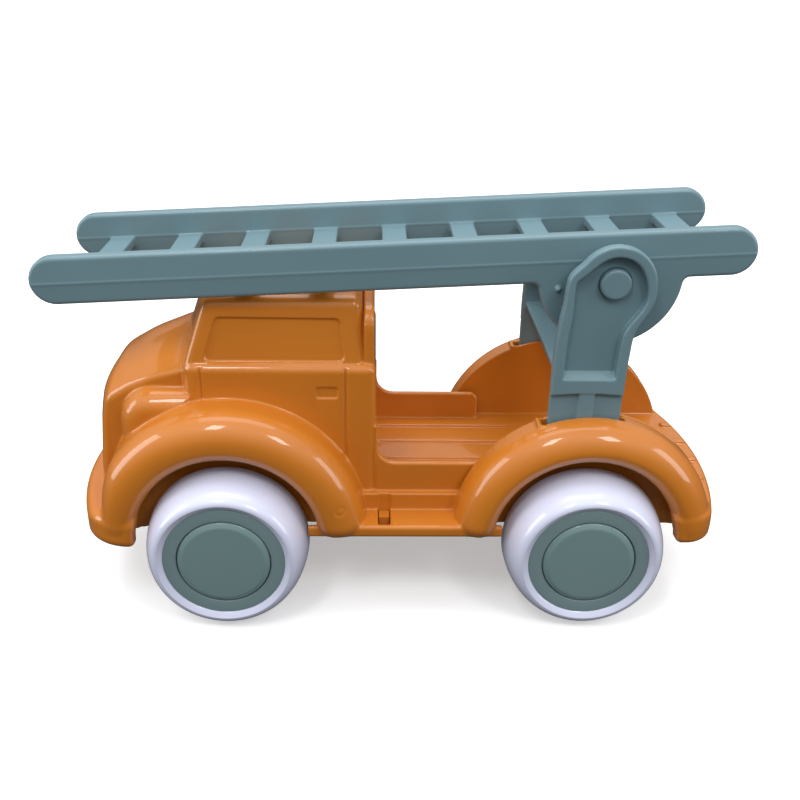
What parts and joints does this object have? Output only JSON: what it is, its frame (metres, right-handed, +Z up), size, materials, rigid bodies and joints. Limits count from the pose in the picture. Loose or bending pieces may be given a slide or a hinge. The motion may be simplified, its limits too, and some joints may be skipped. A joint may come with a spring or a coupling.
{
  "type": "toy ladder truck",
  "caption": "Push-along toy fire truck: moulded body on rolling wheelsets, with a ladder that tilts up in a fork bracket over the open bed.",
  "frame": {"origin": "on the ground, at the middle of the overall length and width", "axes": "+X towards the rear of the truck, +Z up, +Y towards the truck's right side seen from behind"},
  "size_m": [0.2798, 0.132, 0.1641],
  "materials": {
    "orange_body": "gloss",
    "ladder_blue": "satin",
    "white_tyre": "gloss",
    "hub_teal": "satin",
    "cap_teal": "satin",
    "steel_axle": "bright"
  },
  "bodies": {
    "truck": {"body_shell": "orange_body", "chassis_plate": "orange_body", "ladder_bracket": "ladder_blue"},
    "front_wheelset": {"front_axle": "steel_axle", "front_left_tyre": "white_tyre", "front_left_hub": "hub_teal", "front_left_hub_cap": "cap_teal", "front_right_tyre": "white_tyre", "front_right_hub": "hub_teal", "front_right_hub_cap": "cap_teal"},
    "rear_wheelset": {"rear_axle": "steel_axle", "rear_left_tyre": "white_tyre", "rear_left_hub": "hub_teal", "rear_left_hub_cap": "cap_teal", "rear_right_tyre": "white_tyre", "rear_right_hub": "hub_teal", "rear_right_hub_cap": "cap_teal"},
    "ladder": {"ladder": "ladder_blue"}
  },
  "joints": [
    {"name": "front_axle_spin", "type": "hinge", "parent": "truck", "child": "front_wheelset", "pos_m": [-0.0671, 0, 0.0333], "axis": [0, 1, 0], "continuous": true},
    {"name": "rear_axle_spin", "type": "hinge", "parent": "truck", "child": "rear_wheelset", "pos_m": [0.0801, 0, 0.0333], "axis": [0, 1, 0], "continuous": true},
    {"name": "ladder_tilt", "type": "hinge", "parent": "truck", "child": "ladder", "pos_m": [0.0836, 0, 0.1437], "axis": [0, 1, 0], "range_deg": [0, 78]}
  ]
}
